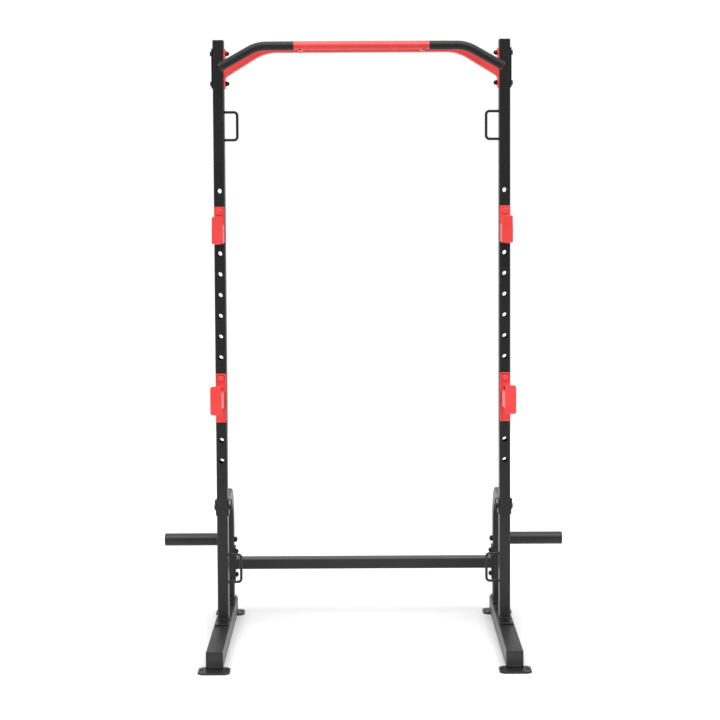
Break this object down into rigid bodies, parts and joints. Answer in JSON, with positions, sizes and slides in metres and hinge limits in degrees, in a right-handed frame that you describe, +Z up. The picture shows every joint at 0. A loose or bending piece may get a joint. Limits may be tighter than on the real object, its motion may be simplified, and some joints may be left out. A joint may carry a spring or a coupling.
{
  "type": "power cage",
  "caption": "Free-standing half rack on two floor skids, with a pull-up bar, adjustable J-hooks and spotter arms, a rear crossbar and plate storage posts.",
  "frame": {"origin": "centre of the footprint on the floor, under the foot pads", "axes": "+Z up, +Y from the front of the rack (the side the hooks and spotter arms point to) to the rear crossbar, +X to the right seen from the front"},
  "size_m": [1.536, 0.935, 2.2],
  "materials": {
    "black_coat": "satin black powder coat, fine orange peel",
    "red_coat": "satin red powder coat, fine orange peel",
    "black_plastic": "moulded matte plastic",
    "grip_rubber": "smooth dipped rubber",
    "foot_rubber": "matte rubber",
    "bolt_steel": "black oxide steel"
  },
  "bodies": {
    "frame": {"left_base_skid": "black_coat", "left_front_foot_pad": "foot_rubber", "left_front_skid_cap": "black_plastic", "left_rear_foot_pad": "foot_rubber", "left_rear_skid_cap": "black_plastic", "left_upright_flange": "black_coat", "left_upright": "black_coat", "left_upright_cap": "black_plastic", "left_rear_leg": "black_coat", "left_storage_post": "black_coat", "left_storage_post_cap": "black_plastic", "left_upper_band_loop": "black_coat", "left_lower_band_loop": "black_coat", "left_pull_up_plate": "red_coat", "left_backing_plate": "black_coat", "left_pull_up_grip": "grip_rubber", "left_upright_flange_bolt": "bolt_steel", "left_leg_flange_bolt": "bolt_steel", "left_clamp_bolt": "bolt_steel", "left_storage_post_bolt": "bolt_steel", "left_crossbar_lower_bolt": "bolt_steel", "left_crossbar_upper_bolt": "bolt_steel", "left_pull_up_lower_bolt": "bolt_steel", "left_pull_up_upper_bolt": "bolt_steel", "right_base_skid": "black_coat", "right_front_foot_pad": "foot_rubber", "right_front_skid_cap": "black_plastic", "right_rear_foot_pad": "foot_rubber", "right_rear_skid_cap": "black_plastic", "right_upright_flange": "black_coat", "right_upright": "black_coat", "right_upright_cap": "black_plastic", "right_rear_leg": "black_coat", "right_storage_post": "black_coat", "right_storage_post_cap": "black_plastic", "right_upper_band_loop": "black_coat", "right_lower_band_loop": "black_coat", "right_pull_up_plate": "red_coat", "right_backing_plate": "black_coat", "right_pull_up_grip": "grip_rubber", "right_upright_flange_bolt": "bolt_steel", "right_leg_flange_bolt": "bolt_steel", "right_clamp_bolt": "bolt_steel", "right_storage_post_bolt": "bolt_steel", "right_crossbar_lower_bolt": "bolt_steel", "right_crossbar_upper_bolt": "bolt_steel", "right_pull_up_lower_bolt": "bolt_steel", "right_pull_up_upper_bolt": "bolt_steel", "rear_crossbar": "black_coat", "pull_up_beam": "red_coat", "pull_up_front_bar": "red_coat"},
    "left_j_hook": {"left_j_hook": "red_coat", "left_j_hook_pin": "red_coat"},
    "left_spotter_arm": {"left_spotter_arm": "red_coat", "left_spotter_arm_pin": "red_coat"},
    "right_j_hook": {"right_j_hook": "red_coat", "right_j_hook_pin": "red_coat"},
    "right_spotter_arm": {"right_spotter_arm": "red_coat", "right_spotter_arm_pin": "red_coat"}
  },
  "joints": [
    {"name": "left_j_hook_slide", "type": "slide", "parent": "frame", "child": "left_j_hook", "axis": [0, -1, 0], "range_m": [0, 0.085]},
    {"name": "left_spotter_arm_slide", "type": "slide", "parent": "frame", "child": "left_spotter_arm", "axis": [0, -1, 0], "range_m": [0, 0.085]},
    {"name": "right_j_hook_slide", "type": "slide", "parent": "frame", "child": "right_j_hook", "axis": [0, -1, 0], "range_m": [0, 0.085]},
    {"name": "right_spotter_arm_slide", "type": "slide", "parent": "frame", "child": "right_spotter_arm", "axis": [0, -1, 0], "range_m": [0, 0.085]}
  ]
}
